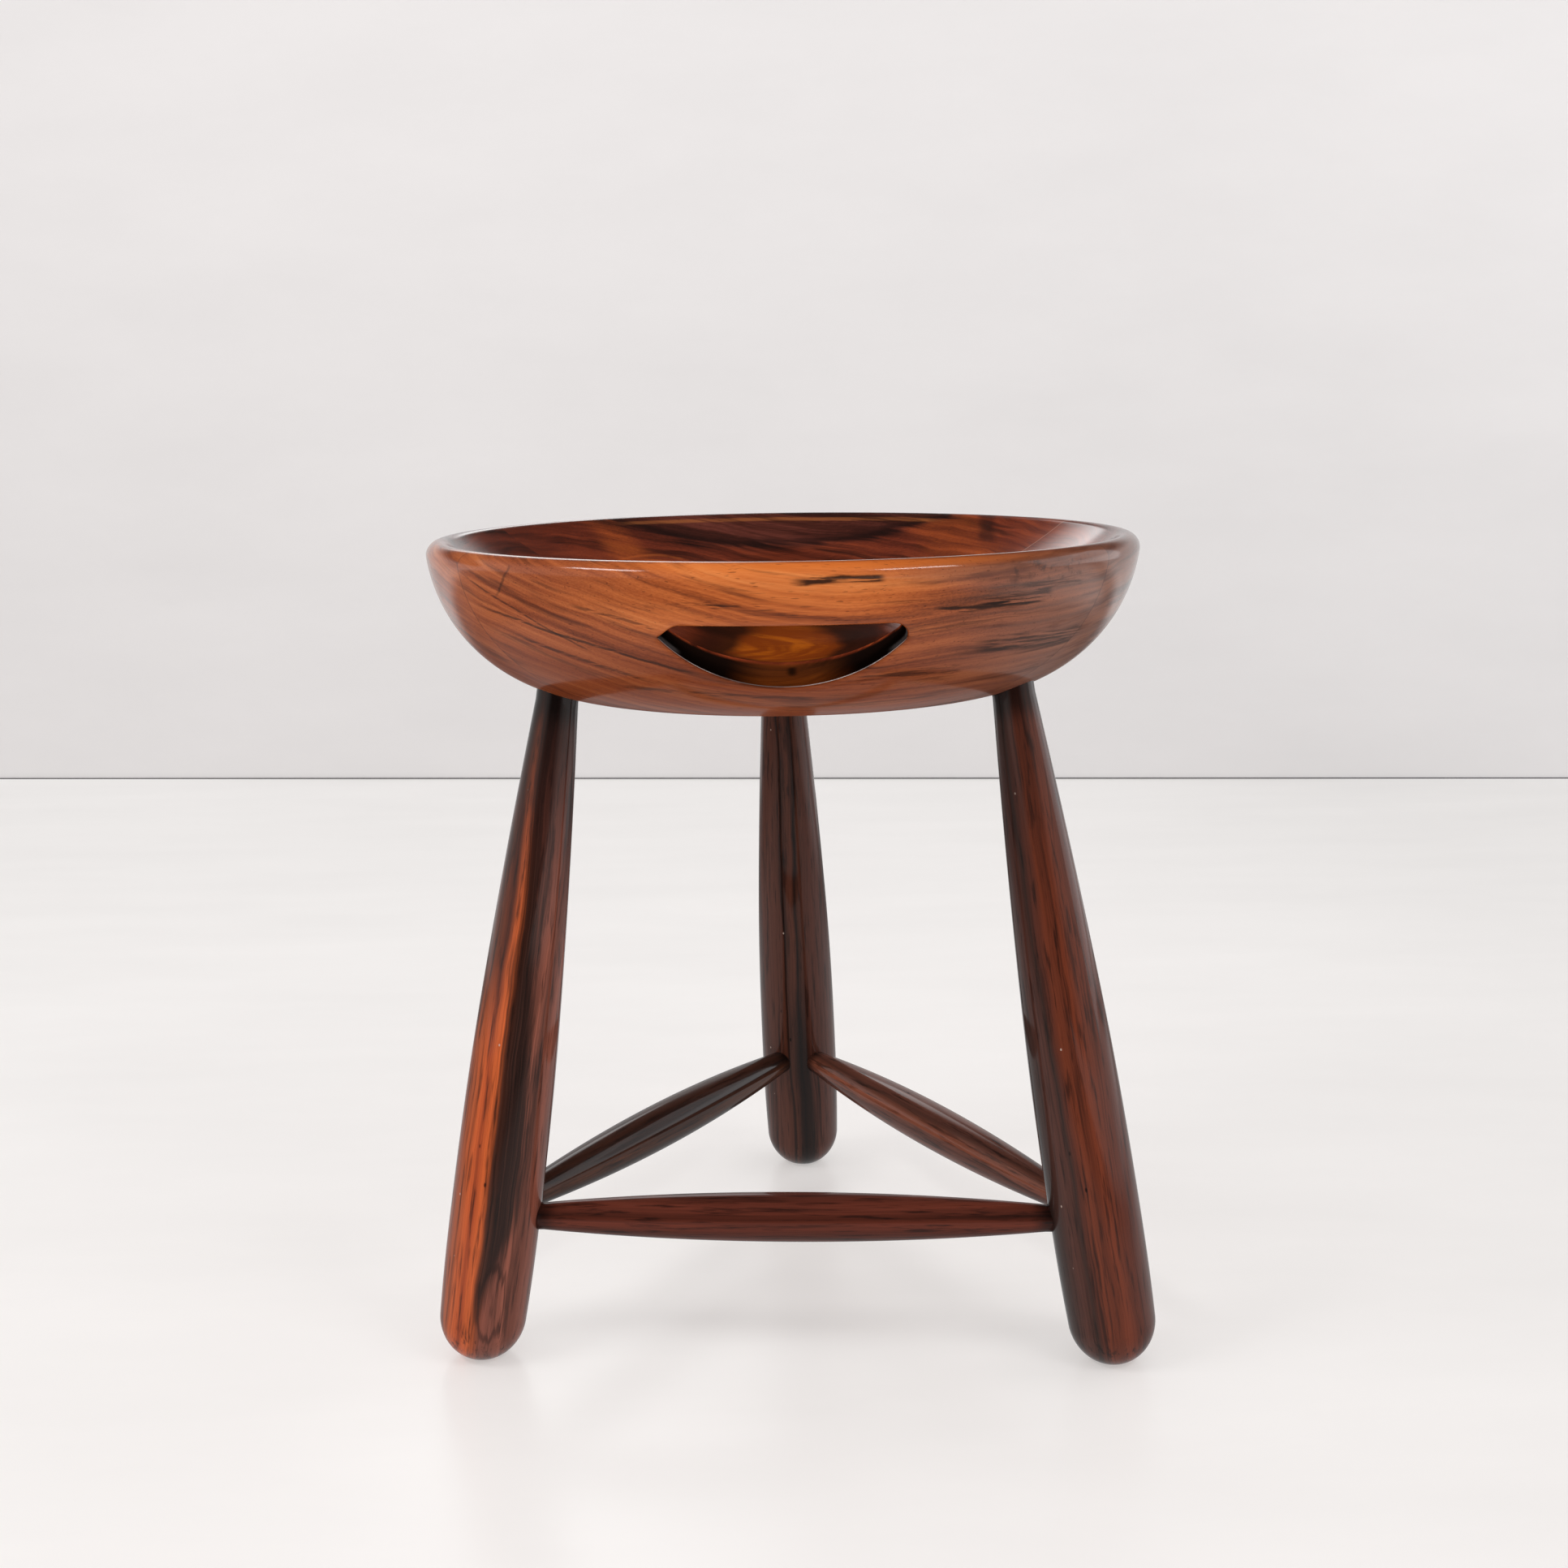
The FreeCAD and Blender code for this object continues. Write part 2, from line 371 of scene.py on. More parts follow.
def lacquer(wood, pits, matt, gloss):
    """High-gloss lacquer over wood: the grain telegraphs faintly, pits break the shine, and where matt
    is 1 the wood is bare and only scatters light."""
    root = wood.root
    bump = root.add("ShaderNodeBump", Strength=0.2, Distance=0.0004, Height=wood.hair * 0.12 - pits)
    surface = root.add("ShaderNodeBsdfPrincipled", Base_Color=wood.colour, Roughness=wood.hair * 0.25 + 0.32,
                       Normal=bump, Coat_Weight=0.85 - pits * 0.5, Coat_Roughness=gloss, Coat_IOR=1.42,
                       Specular_IOR_Level=0.05)
    bare = root.add("ShaderNodeBsdfPrincipled", Base_Color=wood.colour, Roughness=1.0, Specular_IOR_Level=0.0)
    end = root.tree.nodes.new("ShaderNodeOutputMaterial")
    root.tree.links.new(root.add("ShaderNodeMixShader", s0=matt, s1=surface, s2=bare).socket, end.inputs["Surface"])
    return wood.material


def seat_grain():
    """Grain of the seat. Growth layers lie nearly flat, dip to the right on the left half and are swayed
    by noise; noise along the layers gives bands, fine lines, black streaks and mottling, and each board
    shifts it by its own seed. Also here: how far a point is inside the dish, how deep it lies under the
    bowl's wall, and how far it is spread from the amber eye on the dish floor."""
    material, root, (x, y, z) = wood_base("seat_wood", tuple(seat_axis), (0.0, 0.0, 0.0))
    seams = [place - float(seat_axis[1]) for place in joints]
    seed = sum((y.maths("GREATER_THAN", y, place) * 0.35 for place in seams), 2.0)
    sway = root.noise(x * 4.0 + seed, y * 7.0, z * 7.0, 2.0) - 0.5
    wave = root.noise(x * 18.0 + seed, y * 26.0, z * 26.0, 2.0) - 0.5
    dip = ((x * x + 0.0009) ** 0.5 - x) * 0.135
    layer = z - dip - y * 0.10 + sway * 0.018 + wave * 0.005
    broad = root.noise(x * 2.5 + seed, layer * 55.0, y * 3.0, 4.0)
    fine = root.noise(x * 7.0 + seed, layer * 330.0, y * 14.0, 3.0, 0.6)
    ink = root.noise(x * 4.0 + seed + 9.0, layer * 130.0, y * 6.0, 4.0, 0.6)
    hair = root.noise(x * 34.0 + seed, z * 1500.0, y * 1500.0, 2.0)
    pores = root.noise(x * 95.0 + seed, y * 1100.0, z * 1100.0, 1.0).step(0.66, 0.74)
    mottle = root.noise(x * 13.0 + seed, layer * 170.0, y * 16.0, 4.0, 0.65)
    tone = broad * 0.75 + fine * 0.50 + hair * 0.18 - 0.215
    reach = (x * x + y * y + (z - dish_centre) * (z - dish_centre)) ** 0.5 - dish_curve
    inside = reach.step(0.006, 0.001)
    radius = (x * x + y * y) ** 0.5
    depth = wall_curve - (((radius - wall_centre) ** 2.0 + (z - wall_top) ** 2.0) ** 0.5)
    spread = (x * x * 2.2 + (y - 0.04) * (y - 0.04) * 0.8) ** 0.5 + wave * 0.04 + (tone - 0.5) * 0.05
    return SimpleNamespace(material=material, root=root, x=x, y=y, z=z, seams=seams, wave=wave, fine=fine, ink=ink,
                           hair=hair, pores=pores, mottle=mottle, tone=tone, inside=inside, radius=radius,
                           depth=depth, spread=spread, front=y.step(-0.02, -0.06))


# Dark flecks on the front of the bowl: left end, right end, level at the left, rise to the right,
# half thickness, raggedness and strength
flecks = (
    (0.001, 0.052, 0.4605, 0.001, 0.0026, 0.42, 0.92), (0.066, 0.140, 0.4424, 0.003, 0.0025, 0.47, 0.90),
    (0.098, 0.142, 0.4470, 0.002, 0.0045, 0.50, 0.65), (0.120, 0.160, 0.4530, 0.000, 0.0030, 0.50, 0.50),
    (0.094, 0.164, 0.4228, -0.001, 0.0060, 0.48, 0.72), (-0.060, -0.020, 0.4490, -0.001, 0.0018, 0.48, 0.50),
    (0.030, 0.094, 0.4086, 0.001, 0.0030, 0.50, 0.60), (-0.174, -0.040, 0.4452, -0.035, 0.0010, 0.36, 0.72),
    (-0.179, -0.098, 0.4615, -0.041, 0.0008, 0.38, 0.60), (-0.114, -0.064, 0.4480, -0.012, 0.0012, 0.42, 0.55),
    (-0.095, 0.020, 0.4025, -0.007, 0.0014, 0.44, 0.55), (-0.046, 0.010, 0.4495, -0.006, 0.0016, 0.52, 0.50),
    (-0.150, -0.070, 0.4300, -0.024, 0.0012, 0.44, 0.60), (0.040, 0.078, 0.4480, 0.001, 0.0014, 0.52, 0.45),
)


def outside_colour(grain):
    """Bowl's outside: brown, orange over the hand-hold, redder low down, greyed to the right by a painted
    sheen, with a bright rim, dark streaks and mottling, ragged black flecks, a patch of torn grain and one crack."""
    root, x, y, z, tone, front = grain.root, grain.x, grain.y, grain.z, grain.tone, grain.front
    heart = x.step(-0.14, -0.03) * x.step(0.13, 0.03) * z.step(0.420, 0.446)
    brown = tone.ramp((0.30, 72, 29, 13), (0.45, 138, 66, 34), (0.58, 172, 90, 48), (0.75, 200, 118, 68))
    orange = tone.ramp((0.30, 102, 43, 18), (0.45, 180, 90, 40), (0.58, 212, 116, 56), (0.75, 230, 138, 74))
    colour = heart.mix(brown, orange)
    colour = (z.step(0.436, 0.396) * 0.5).mix(colour, shade(92, 38, 22))
    # painted sheen: grey mixed in towards the right side, standing in for a reflection
    colour = (x.step(0.04, 0.17) * 0.60).mix(colour, shade(117, 91, 79))
    colour = (x.step(0.02, 0.11) * z.step(0.455, 0.463) * 0.5).mix(colour, shade(92, 40, 16))
    colour = (grain.mottle.step(0.50, 0.68) * 0.6).mix(colour, shade(78, 37, 22))
    colour = (grain.ink.step(0.58, 0.70) * 0.65).mix(colour, shade(52, 25, 16))
    glow = z.step(0.4640, 0.4685) * x.step(-0.13, 0.00) * x.step(0.17, 0.06)
    colour = (glow * 0.5).mix(colour, shade(200, 100, 24))

    black = shade(26, 15, 11)
    line = root.noise(x * 55.0, y * 20.0, z * 20.0, 3.0) - 0.5
    torn = root.noise(x * 48.0, z * 800.0, y * 9.0, 3.0, 0.6)
    for left, right, level, rise, thick, ragged, strength in flecks:
        along = (x - left) * (1.0 / (right - left))
        off = abs(z - along * rise - line * (0.0020 + thick * 0.6) - level)
        rough = torn.step(ragged - 0.06, ragged + 0.08)
        body = off.step(thick, thick * 0.4) * along.step(0.0, 0.22) * along.step(1.0, 0.9)
        colour = (body * rough * front * strength).mix(colour, black)
    flaw = root.noise(x * 190.0, z * 150.0, 4.0, 4.0, 0.7).step(0.48, 0.62)
    flaw = flaw * root.noise(x * 45.0, z * 90.0, 8.0).step(0.42, 0.54)
    height = z + (root.noise(x * 90.0, 2.0, 5.0) - 0.5) * 0.010
    comb = flaw * x.step(0.090, 0.106) * x.step(0.176, 0.150) * height.step(0.4530, 0.4575) * height.step(0.4675, 0.4640)
    colour = (comb * front * 0.55).mix(colour, black)
    crack = abs(x + 0.152 - (z - 0.4485) * 0.55 - (root.noise(z * 160.0, x * 30.0, 3.0) - 0.5) * 0.006)
    crack = crack.step(0.0012, 0.0003) * z.step(0.446, 0.452) * z.step(0.467, 0.463)
    return (crack * front * 0.5).mix(colour, black)


def throat_colour(grain, outside):
    """Hand-hold's throat: amber in the middle, with painted shade making it nearly black towards its ends and
    deep in, a small knot, a painted reflection on the end walls and a painted highlight line on the lower lip. It
    begins where the eased lip ends."""
    x, z, depth = grain.x, grain.z, grain.depth
    colour = grain.tone.ramp((0.34, 54, 25, 10), (0.55, 122, 58, 20), (0.75, 156, 80, 28))
    # painted shade: darker deep in the throat and nearly black towards its ends
    colour = (depth.step(0.010, 0.026) * 0.75).mix(colour, shade(36, 18, 10))
    colour = abs(x - 0.003).step(0.010, 0.036).mix(colour, shade(19, 10, 7))
    knot = ((x - 0.004) ** 2.0 + (depth - 0.024) ** 2.0) ** 0.5
    colour = (knot.step(0.0042, 0.0008) * 0.85).mix(colour, shade(12, 7, 5))
    # painted reflection: pale grey patches on the end walls of the throat
    end_wall_reflection = abs(x).step(0.0525, 0.0575) * depth.step(0.003, 0.007) * depth.step(0.018, 0.010)
    colour = (end_wall_reflection * 0.55).mix(colour, shade(150, 142, 140))
    colour = (depth.step(0.0024, 0.0044) * z.step(0.4435, 0.4405)).mix(outside, colour)
    # painted highlight: a thin pale line along the round of the lower lip
    lip_highlight = abs(depth - 0.0026).step(0.0010, 0.0004) * z.step(0.434, 0.428)
    lip_highlight = lip_highlight * abs(x).step(0.008, 0.022) * abs(x).step(0.056, 0.044)
    return (lip_highlight * grain.mottle.step(0.60, 0.44) * 0.7).mix(colour, shade(240, 226, 216))


def dish_colour(grain):
    """Dish: darker and redder than the outside. At the back a black lens with a darker edge, flame-like
    patches, fine arches and a golden line under the rim; on the floor an amber eye in a dark ring of painted shade."""
    x, y, z, tone, wave, spread = grain.x, grain.y, grain.z, grain.tone, grain.wave, grain.spread
    back = y.step(0.05, 0.10)
    colour = tone.ramp((0.30, 44, 18, 10), (0.46, 96, 38, 21), (0.60, 132, 56, 29), (0.78, 168, 78, 36))
    colour = (grain.ink.step(0.54, 0.66) * 0.75).mix(colour, shade(26, 13, 10))
    flame = tone.ramp((0.34, 96, 40, 18), (0.55, 168, 78, 28), (0.75, 206, 108, 44))
    wedge = abs(x + 0.109 + (z - 0.458) * 0.9 + wave * 0.012).step(0.018, 0.004) * z.step(0.436, 0.450)
    colour = (wedge * back * 0.6).mix(colour, flame)
    patch = abs(x - 0.112 + (z - 0.456) * 0.8 + wave * 0.016).step(0.036, 0.008)
    colour = (patch * back * 0.4).mix(colour, flame)
    knurl = abs(x - 0.134 + wave * 0.010).step(0.007, 0.002) * z.step(0.452, 0.457)
    colour = (knurl * back * 0.6).mix(colour, shade(40, 18, 13))
    arch = z - 0.447 + (x + 0.09) ** 2.0 * 7.0 + wave * 0.002
    arches = abs(arch).step(0.0010, 0.0003) + abs(arch + 0.0032).step(0.0010, 0.0003)
    colour = (arches * y.step(0.105, 0.130) * grain.mottle.step(0.60, 0.44) * 0.4).mix(colour, shade(176, 86, 34))
    lens = z - (x + 0.005) ** 2.0 * 1.6 - wave * 0.008 - (grain.fine - 0.5) * 0.012 - 0.4475
    dusk = tone.ramp((0.34, 24, 13, 10), (0.50, 56, 26, 20), (0.62, 86, 43, 36), (0.78, 104, 58, 48))
    colour = (lens.step(-0.0030, 0.0030) * back * 0.85).mix(colour, dusk)
    colour = (abs(lens - 0.0030).step(0.0034, 0.0006) * back * 0.6).mix(colour, shade(20, 11, 9))
    gold = abs(z - 0.4662 - wave * 0.003).step(0.0016, 0.0005) * abs(x).step(0.115, 0.095)
    colour = (gold * grain.fine.step(0.36, 0.60) * back * 0.5).mix(colour, shade(164, 94, 46))
    amber = tone.ramp((0.34, 120, 52, 12), (0.55, 196, 104, 16), (0.75, 220, 130, 30))
    colour = (spread.step(0.075, 0.015) * 0.85).mix(colour, amber)
    # painted shade: a dark ring about the amber eye, for the floor's shaded sides seen through the hand-hold
    return (spread.step(0.030, 0.050) * spread.step(0.125, 0.075) * 0.88).mix(colour, shade(32, 15, 9))


def seat_wood():
    """Seat timber: outside, throat and dish put together, with a painted highlight along the crest of the front
    rim, the boards' joint lines, pores and knocks. The throat, the dish floor and the low bowl are less shiny."""
    grain = seat_grain()
    root, x, y, z, inside = grain.root, grain.x, grain.y, grain.z, grain.inside
    colour = inside.mix(throat_colour(grain, outside_colour(grain)), dish_colour(grain))
    # painted highlight: a thin pale line along the crest of the front rim
    crest_highlight = abs(grain.radius - (rim_centre - 0.0006)).step(0.0017, 0.0009) * z.step(0.4685, 0.4692)
    crest_highlight = crest_highlight * grain.front * abs(x).step(0.165, 0.135)
    colour = (crest_highlight * 0.65).mix(colour, shade(246, 222, 206))
    for place in grain.seams:
        seam = abs(y - place).step(0.0006, 0.0002)
        colour = (seam * inside * x.step(0.08, 0.12) * 0.5).mix(colour, shade(176, 132, 110))
        colour = (seam * (1.0 - inside) * 0.45).mix(colour, shade(40, 22, 16))
    colour = (grain.pores * 0.45).mix(colour, shade(34, 16, 11))
    knocks = root.dots(x * 60.0, y * 60.0, z * 60.0, 0.05, 0.10)
    grain.colour = (knocks * 0.8).mix(colour, shade(30, 15, 10))
    throat = grain.depth.step(0.0026, 0.0046) * z.step(0.4435, 0.4405)
    near_lip = (abs(x) + grain.wave * 0.03).step(0.090, 0.070) * y.step(-0.02, -0.05) * y.step(-0.16, -0.14)
    matt = (1.0 - inside) * (z.step(0.440, 0.404) * 0.5 + throat)
    matt = matt + inside * (grain.spread.step(0.125, 0.090) + near_lip) * 0.97
    return lacquer(grain, grain.pores * 0.5 + knocks, matt, 0.12)


seat_timber = seat_wood()
bowl = mesh_of("bowl", *seat_mesh())
edges = (None, *joints, None)
board_names = ("front_board", "second_board", "third_board", "rear_board")
board_nodes = ("seat_board_front", "seat_board_mid_front", "seat_board_mid_rear", "seat_board_rear")
for name, node, near, far in zip(board_names, board_nodes, edges[:-1], edges[1:]):
    piece_of(name, sawn_board(name, bowl, near, far), seat_timber, node)
bpy.data.meshes.remove(bowl)

# Legs: three turned clubs of the same wood, thickest a quarter of the way up, thin where they plug
# straight into blind sockets in the seat. Each foot is domed, with a small flat on the floor.
leg_thick, leg_thin, leg_tenon, foot_dome, foot_trim = 0.0260, 0.0121, 0.030, 0.025, 0.002
seat_radius = wall_centre + wall_curve

# Outline of the club: share of the length from the foot, and share of the swelling there
club = np.array([(0.06, 0.935), (0.10, 0.968), (0.244, 1.0), (0.439, 0.91), (0.634, 0.665), (0.832, 0.325), (0.992, 0.0)])

# Bearing and share of the seat's radius, at the hip and then at the foot
leg_places = {
    "left": (-152.2, 0.696, -152.0, 1.0),
    "right": (-31.8, 0.721, -31.4, 1.053),
    "rear": (90.8, 0.705, 87.3, 1.02),
}


def smooth_through(knots, values, at):
    """Natural cubic curve through the knots: its second slopes solve the usual three-term equations."""
    gap = np.diff(knots)
    rise = np.diff(values) / gap
    count = len(knots)
    system = np.eye(count)
    inner = np.arange(1, count - 1)
    system[inner, inner - 1] = gap[:-1]
    system[inner, inner] = 2 * (gap[:-1] + gap[1:])
    system[inner, inner + 1] = gap[1:]
    bend = np.linalg.solve(system, np.concatenate([[0.0], 6 * np.diff(rise), [0.0]]))
    k = np.clip(np.searchsorted(knots, at) - 1, 0, count - 2)
    a, b, h = knots[k + 1] - at, at - knots[k], gap[k]
    curve = (bend[k] * a ** 3 + bend[k + 1] * b ** 3) / (6 * h)
    return curve + (values[k] / h - bend[k] * h / 6) * a + (values[k + 1] / h - bend[k + 1] * h / 6) * b


def turned_mesh(name, start, end, along, radius, columns):
    """Rod turned about the line from start to end: at each distance along it a ring of the given radius,
    closed by its first and last rings shrinking to a point; nothing goes below the floor."""
    axis = (end - start) / np.linalg.norm(end - start)
    first = np.cross(axis, [0.0, 0.0, 1.0]) if abs(axis[2]) < 0.9 else np.cross([0.0, 1.0, 0.0], axis)
    first /= np.linalg.norm(first)
    second = np.cross(axis, first)
    turn = np.linspace(0.0, 2 * np.pi, columns, endpoint=False)
    spoke = np.cos(turn)[:, None] * first + np.sin(turn)[:, None] * second
    points = start + along[:, None, None] * axis + radius[:, None, None] * spoke
    points[..., 2] = np.maximum(points[..., 2], 0.0)
    number = np.arange(len(along) * columns).reshape(len(along), columns)
    number[0], number[-1] = number[0, 0], number[-1, 0]
    return mesh_of(name, points.reshape(-1, 3), looped_quads(number).reshape(-1, 4))


def grain_turn(start, end, side):
    """Rotation whose X axis runs from start to end and whose Y axis lies as near as can be to side."""
    along = Vector(end - start).normalized()
    across = Vector(side)
    across = (across - along * across.dot(along)).normalized()
    return Matrix((along, across, along.cross(across))).transposed().to_euler()


def striped_wood(name, start, turn, width, lean, stripes, dark, seed):
    """Rod timber sawn with its growth layers nearly edge on to the front: the layer is the distance
    across the rod plus a lean in depth, swayed by noise along it; a ramp of stripes gives each layer
    its colour, with fine lines along the grain, small knocks and pale specks of worn lacquer."""
    material, root, (x, y, z) = wood_base(name, tuple(start), turn)
    sway = root.noise(x * 5.0 + seed, y * 12.0, z * 12.0, 2.0) - 0.5
    wave = root.noise(x * 22.0 + seed, y * 60.0, z * 60.0, 3.0) - 0.5
    layer = y + z * lean + sway * width * 0.20 + wave * width * 0.07
    fine = root.noise(x * 6.0 + seed, layer * 900.0, z * 60.0, 3.0, 0.6)
    ink = root.noise(x * 7.0 + seed + 5.0, layer * 260.0, z * 40.0, 4.0, 0.6)
    hair = root.noise(x * 40.0 + seed, y * 1600.0, z * 1600.0, 2.0)
    short = root.noise(x * 26.0 + seed, y * 420.0, z * 420.0, 3.0, 0.6)
    share = layer * (1.0 / width) + 0.5
    colour = share.ramp(*stripes)
    colour = ((fine - 0.35) * 0.9).mix(colour, shade(*dark))
    colour = (ink.step(0.52, 0.70) * 0.65).mix(colour, shade(*dark))
    colour = (short.step(0.50, 0.70) * 0.7).mix(colour, shade(*dark))
    knocks = root.dots(x * 45.0, y * 90.0, z * 90.0, 0.09, 0.12)
    specks = root.dots(x * 110.0 + 7.0, y * 150.0, z * 150.0, 0.10, 0.035)
    colour = (knocks * 0.85).mix(colour, shade(18, 11, 9))
    colour = (specks * 0.7).mix(colour, shade(200, 176, 162))
    return SimpleNamespace(material=material, root=root, x=x, layer=layer, share=share, fine=fine, hair=hair,
                           knocks=knocks, colour=colour)


def leg_marks(side, wood, length):
    """Marks of each leg, with x the height along it. Left: a black streak that widens upwards and thins
    again, a dark top, a dark left edge high up and a whorl at the foot. Right: a dark top. Rear: a black
    band low down. All three get painted shade where they meet the seat."""
    x, layer, share, tone, colour = wood.x, wood.layer, wood.share, wood.fine, wood.colour
    if side == "left":
        bound = x.step(0.005, 0.115) * 0.36 - x.step(0.10, 0.32) * 0.20 + 0.42 + (tone - 0.5) * 0.18
        coal = tone.ramp((0.36, 16, 11, 9), (0.52, 26, 17, 14), (0.66, 56, 34, 27))
        streak = (share + (tone - 0.5) * 0.10).step(0.35, 0.44) * (bound - share).step(-0.07, 0.10)
        colour = (streak * 0.92).mix(colour, coal)
        colour = (x.step(0.250, 0.340) * 0.55).mix(colour, shade(56, 29, 24))
        colour = (x.step(0.310, 0.375) * 0.60).mix(colour, shade(26, 18, 16))
        edge = (layer + 0.012 - x * 0.012).step(0.002, -0.003) * x.step(0.17, 0.25)
        colour = (edge * 0.8).mix(colour, shade(24, 15, 13))
        whorl = ((layer - 0.004) ** 2.0 + ((x - 0.040) * 0.35) ** 2.0) ** 0.5
        whorl = abs(whorl - 0.0075 + (tone - 0.5) * 0.006).step(0.0014, 0.0003)
        colour = (whorl * 0.6).mix(colour, shade(40, 20, 15))
    if side == "right":
        colour = (x.step(0.24, 0.37) * 0.45).mix(colour, shade(44, 31, 28))
    if side == "rear":
        colour = (abs(layer - 0.002).step(0.008, 0.003) * x.step(0.19, 0.09) * 0.85).mix(colour, shade(24, 15, 13))
    # painted shade: each leg's top goes nearly black where it enters the seat
    return (x.step(length - 0.022, length - 0.006) * 0.75).mix(colour, shade(14, 9, 8))


leg_stripes = {
    "left": ((0.00, 136, 72, 50), (0.10, 176, 86, 47), (0.20, 212, 98, 48), (0.26, 172, 73, 36), (0.32, 220, 103, 50),
             (0.42, 192, 92, 48), (0.50, 142, 80, 64), (0.60, 130, 75, 61), (0.72, 150, 86, 68), (0.80, 112, 62, 48),
             (0.90, 140, 79, 62), (1.00, 104, 61, 51)),
    "right": ((0.00, 52, 36, 32), (0.10, 66, 42, 36), (0.20, 88, 51, 42), (0.27, 80, 45, 36), (0.31, 58, 37, 31),
              (0.36, 88, 44, 32), (0.46, 116, 54, 33), (0.56, 104, 48, 30), (0.66, 122, 56, 34), (0.76, 98, 45, 29),
              (0.88, 92, 44, 31), (1.00, 84, 46, 36)),
    "rear": ((0.00, 84, 46, 36), (0.20, 92, 52, 40), (0.33, 86, 48, 36), (0.36, 34, 20, 16), (0.39, 84, 47, 35),
             (0.48, 94, 52, 38), (0.52, 36, 22, 18), (0.56, 82, 46, 34), (0.70, 88, 50, 40), (1.00, 78, 46, 38)),
}
leg_leans = {"left": 0.10, "right": -0.15, "rear": 0.05}
leg_ends = {}
for number, (side, (hip_bearing, hip_share, foot_bearing, foot_share)) in enumerate(leg_places.items()):
    hip = seat_radius * hip_share
    hip_level = wall_top - np.sqrt(wall_curve ** 2 - (hip - wall_centre) ** 2)
    start = ring(seat_radius * foot_share, np.radians(foot_bearing), 0.0) + seat_axis
    end = ring(hip, np.radians(hip_bearing), hip_level) + seat_axis
    leg_ends[side] = (start, end)
    length = np.linalg.norm(end - start)
    dome = np.linspace(-np.pi / 2, 0.0, 26)
    heel = leg_thin + (leg_thick - leg_thin) * club[0, 1]
    body = np.linspace(foot_dome, length - 0.003, 130)[1:]
    swell = smooth_through(np.concatenate([[foot_dome], club[1:, 0] * length]), club[:, 1], body)
    tenon = length + np.array([0.01, 0.02, leg_tenon, leg_tenon])
    along = np.concatenate([foot_dome + (foot_dome + foot_trim) * np.sin(dome), body, tenon])
    radius = np.concatenate([heel * np.cos(dome), leg_thin + (leg_thick - leg_thin) * swell, [leg_thin] * 3, [0.0]])
    mesh = turned_mesh(side + "_leg", start, end, along, radius, 72)
    turn = grain_turn(start, end, (1.0, 0.0, 0.0))
    wood = striped_wood(side + "_leg_wood", start, turn, 2 * leg_thick, leg_leans[side], leg_stripes[side],
                        (24, 13, 10), 31.0 + 7.0 * number)
    wood.colour = leg_marks(side, wood, length)
    piece_of(side + "_leg", mesh, lacquer(wood, wood.knocks, 0.15, 0.07), "leg_" + side)

# Stretchers: three spindles, full in the middle and thin at the ends, whose tenons are glued into
# mortises bored in the legs a hand's breadth above the floor.
stretcher_runs = {"front": ("left", "right", 0.083), "left": ("left", "rear", 0.085), "right": ("right", "rear", 0.085)}
stretcher_thick, stretcher_thin, stretcher_stop = 0.0142, 0.0078, 0.015
stretcher_stripes = {
    "front": ((0.0, 100, 52, 40), (0.25, 88, 41, 29), (0.45, 110, 50, 34), (0.6, 76, 34, 23), (0.8, 104, 49, 35),
              (1.0, 88, 43, 33)),
    "left": ((0.0, 60, 36, 28), (0.3, 48, 26, 18), (0.5, 84, 46, 28), (0.7, 40, 22, 16), (1.0, 66, 38, 28)),
    "right": ((0.0, 126, 77, 63), (0.3, 98, 55, 43), (0.5, 150, 86, 64), (0.7, 82, 49, 39), (1.0, 116, 68, 54)),
}
for number, (name, (first, second, level)) in enumerate(stretcher_runs.items()):
    start, end = (foot + (hip - foot) * level / hip[2] for foot, hip in (leg_ends[first], leg_ends[second]))
    span = np.linalg.norm(end - start)
    half = span / 2 - (leg_thick + 0.003)
    bow = (half ** 2 + (stretcher_thick - stretcher_thin) ** 2) / (2 * (stretcher_thick - stretcher_thin))
    belly = np.linspace(-half, half, 120)
    along = np.concatenate([[stretcher_stop, stretcher_stop], span / 2 + belly, [span - stretcher_stop] * 2])
    spindle = stretcher_thick - bow + np.sqrt(bow ** 2 - belly ** 2)
    radius = np.concatenate([[0.0, stretcher_thin], spindle, [stretcher_thin, 0.0]])
    mesh = turned_mesh(name + "_stretcher", start, end, along, radius, 56)
    turn = grain_turn(start, end, (0.0, 0.3, 1.0))
    wood = striped_wood(name + "_stretcher_wood", start, turn, 2 * stretcher_thick, 0.2, stretcher_stripes[name],
                        (22, 12, 9), 61.0 + 9.0 * number)
    # painted shade: each stretcher goes nearly black close to the legs it enters
    end_shade = abs(wood.x - span / 2).step(half - 0.010, half + 0.002)
    wood.colour = (end_shade * 0.7).mix(wood.colour, shade(14, 9, 8))
    piece_of(name + "_stretcher", mesh, lacquer(wood, wood.knocks, 0.3, 0.08), "stretcher_" + name)
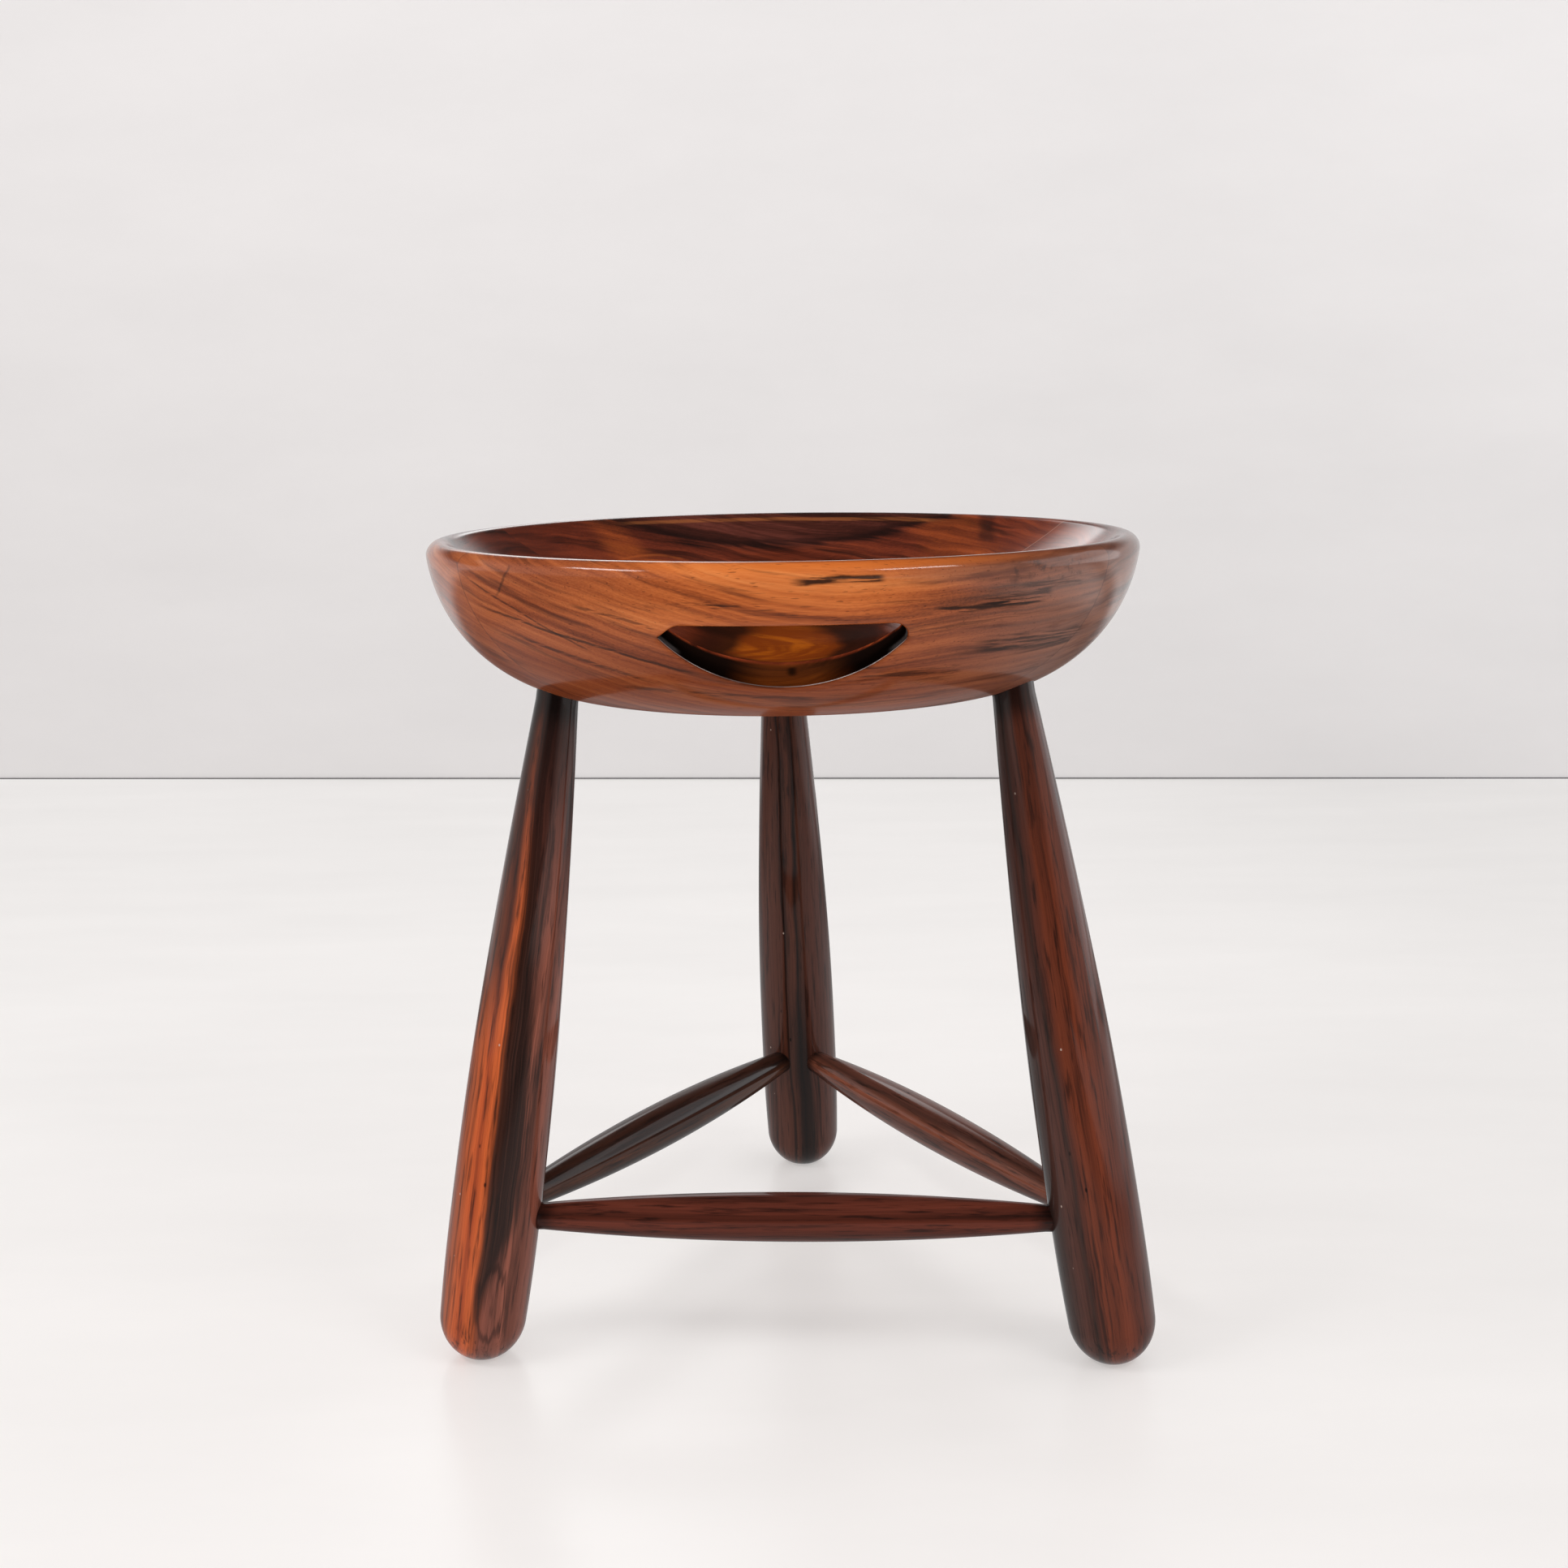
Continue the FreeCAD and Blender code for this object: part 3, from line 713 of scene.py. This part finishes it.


# Studio: a pale floor and a pale wall meeting in a thin dark line of painted shade, soft lamps to the left,
# to the right and at the window side, and a camera a little above the seat, in front of the hand-hold.
def flat(name, corners, base, rough, glow, fall, mirror):
    """A flat stage sheet through four corners. Its paint is faintly clouded and dims by fall; part of it
    glows, so shadows stay pale. In reflections it shows only the brightness given by mirror."""
    mesh = bpy.data.meshes.new(name)
    mesh.from_pydata(corners, [], [(0, 1, 2, 3)])
    sheet = bpy.data.objects.new(name, mesh)
    bpy.context.scene.collection.objects.link(sheet)
    material, root, (x, y, z) = wood_base(name + "_paint", (0.0, 0.0, 0.0), (0.0, 0.0, 0.0))
    black = (0.0, 0.0, 0.0, 1.0)
    glossy = root.add("ShaderNodeLightPath", out="Is Glossy Ray")
    dim = fall(x, y, z) + (root.noise(x * 3.0, y * 9.0, z * 9.0, 4.0) - 0.5) * 0.08
    paint = dim.mix(shade(*base), black)
    light = dim.mix(tuple(c * glow for c in shade(*base)[:3]) + (1.0,), black)
    seen = mirror(x, y, z).mix(black, (3.0, 3.0, 3.0, 1.0))
    surface = root.add("ShaderNodeBsdfPrincipled", Base_Color=glossy.mix(paint, black), Roughness=rough,
                       Specular_IOR_Level=0.3, Emission_Color=glossy.mix(light, seen), Emission_Strength=1.0)
    end = root.tree.nodes.new("ShaderNodeOutputMaterial")
    root.tree.links.new(surface.socket, end.inputs["Surface"])
    mesh.materials.append(material)


def floor_fall(x, y, z):
    """Dimming of the floor: more towards the wall and to the right, least at the near left."""
    bright = x.step(-0.15, -0.65) * y.step(-0.05, -0.45) * 0.06
    return y.step(-0.6, 1.7) * 0.12 + x.step(0.1, 0.9) * 0.09 + 0.06 - bright


def floor_mirror(x, y, z):
    """Floor in reflections: dark, paler near the stool and in two fields beside it."""
    beside = abs(x).step(0.55, 0.95) * y.step(0.95, 1.35) * 0.22 + x.step(0.75, 1.15) * y.step(0.9, 0.5) * 0.22
    return (x * x + y * y).step(1.0, 0.15) * 0.13 + beside + 0.03


def wall_fall(x, y, z):
    """Dimming of the wall: more to the right and lower down."""
    return x.step(-1.0, 1.0) * 0.06 + z.step(1.1, 0.35) * 0.06 + 0.002


def wall_mirror(x, y, z):
    """Wall in reflections: a bright panel high on the left, a dim lower half, dark elsewhere."""
    panel = x.step(0.04, -0.16) * x.step(-0.85, -0.45) * z.step(0.82, 1.02) * z.step(1.85, 1.15)
    return panel * 0.90 + z.step(1.25, 0.80) * 0.24 + 0.01


wall_y, wall_turn, wall_height, shade_line_height = 1.70, -np.tan(np.radians(3.9)), 2.2, 0.0016
sheet = ((-6.0, 0.0), (6.0, 0.0), (6.0, 1.0), (-6.0, 1.0))
floor_corners = [(6.0 * u, 6.0 * v - 1.5, 0.0) for u, v in ((-1, -1), (1, -1), (1, 1), (-1, 1))]
wall_corners = [(x, wall_y + x * wall_turn, wall_height * z) for x, z in sheet]
shade_line_corners = [(x, wall_y + x * wall_turn - 0.002, shade_line_height * z) for x, z in sheet]
flat("floor", floor_corners, (187, 184, 182), 0.30, 0.95, floor_fall, floor_mirror)
flat("wall", wall_corners, (246, 243, 242), 0.8, 0.0, wall_fall, wall_mirror)
# painted shade: a thin dark strip just in front of the foot of the wall
flat("wall_gap", shade_line_corners, (96, 94, 94), 0.8, 0.0, wall_fall, floor_mirror)


def lamp(name, place, aim, size, power, tint=(1.0, 1.0, 1.0)):
    """A soft rectangular lamp at place, facing aim."""
    data = bpy.data.lights.new(name, "AREA")
    data.shape = "RECTANGLE"
    data.size, data.size_y = size
    data.energy = power
    data.color = tint
    item = bpy.data.objects.new(name, data)
    item.location = place
    item.rotation_euler = (Vector(aim) - Vector(place)).to_track_quat("-Z", "Y").to_euler()
    bpy.context.scene.collection.objects.link(item)


lamp("left_box", (-1.38, -0.65, 1.78), (0.0, -0.1, 0.35), (0.8, 0.20), 10.0)
lamp("right_box", (1.13, -1.07, 1.78), (0.0, -0.1, 0.35), (0.8, 0.20), 8.0)
lamp("window", (2.1, 0.6, 0.9), (0.0, 0.0, 0.4), (1.8, 1.6), 10.0, (0.94, 0.97, 1.0))

# Air of the studio: even and pale for lighting, dark in reflections but for the two sides
world = bpy.data.worlds.new("studio")
bpy.context.scene.world = world
world.use_nodes = True
sky = Wire(world.node_tree, None)
aim = sky.add("ShaderNodeSeparateXYZ", Vector=sky.add("ShaderNodeTexCoord"))
sides = (abs(aim).step(0.30, 0.85) * aim.other(2).step(0.75, 0.30)).mix((0.02, 0.02, 0.02, 1.0), (0.8, 0.78, 0.76, 1.0))
glossy = sky.add("ShaderNodeLightPath", out="Is Glossy Ray")
world.node_tree.links.new(glossy.mix((0.80, 0.80, 0.81, 1.0), sides).socket,
                          world.node_tree.nodes["Background"].inputs["Color"])

camera_data = bpy.data.cameras.new("camera")
camera_data.sensor_width = 36.0
camera_data.lens = 48.125
camera_place, camera_pitch, camera_roll = Vector((-0.0011, -1.2441, 0.5567)), 90.0 - 10.81, -0.74
camera = bpy.data.objects.new("camera", camera_data)
camera.matrix_world = (Matrix.Translation(Vector(seat_axis) + camera_place)
                       @ Matrix.Rotation(np.radians(camera_pitch), 4, "X")
                       @ Matrix.Rotation(np.radians(camera_roll), 4, "Z"))
bpy.context.scene.collection.objects.link(camera)
bpy.context.scene.camera = camera
bpy.context.scene.view_settings.view_transform = "Standard"
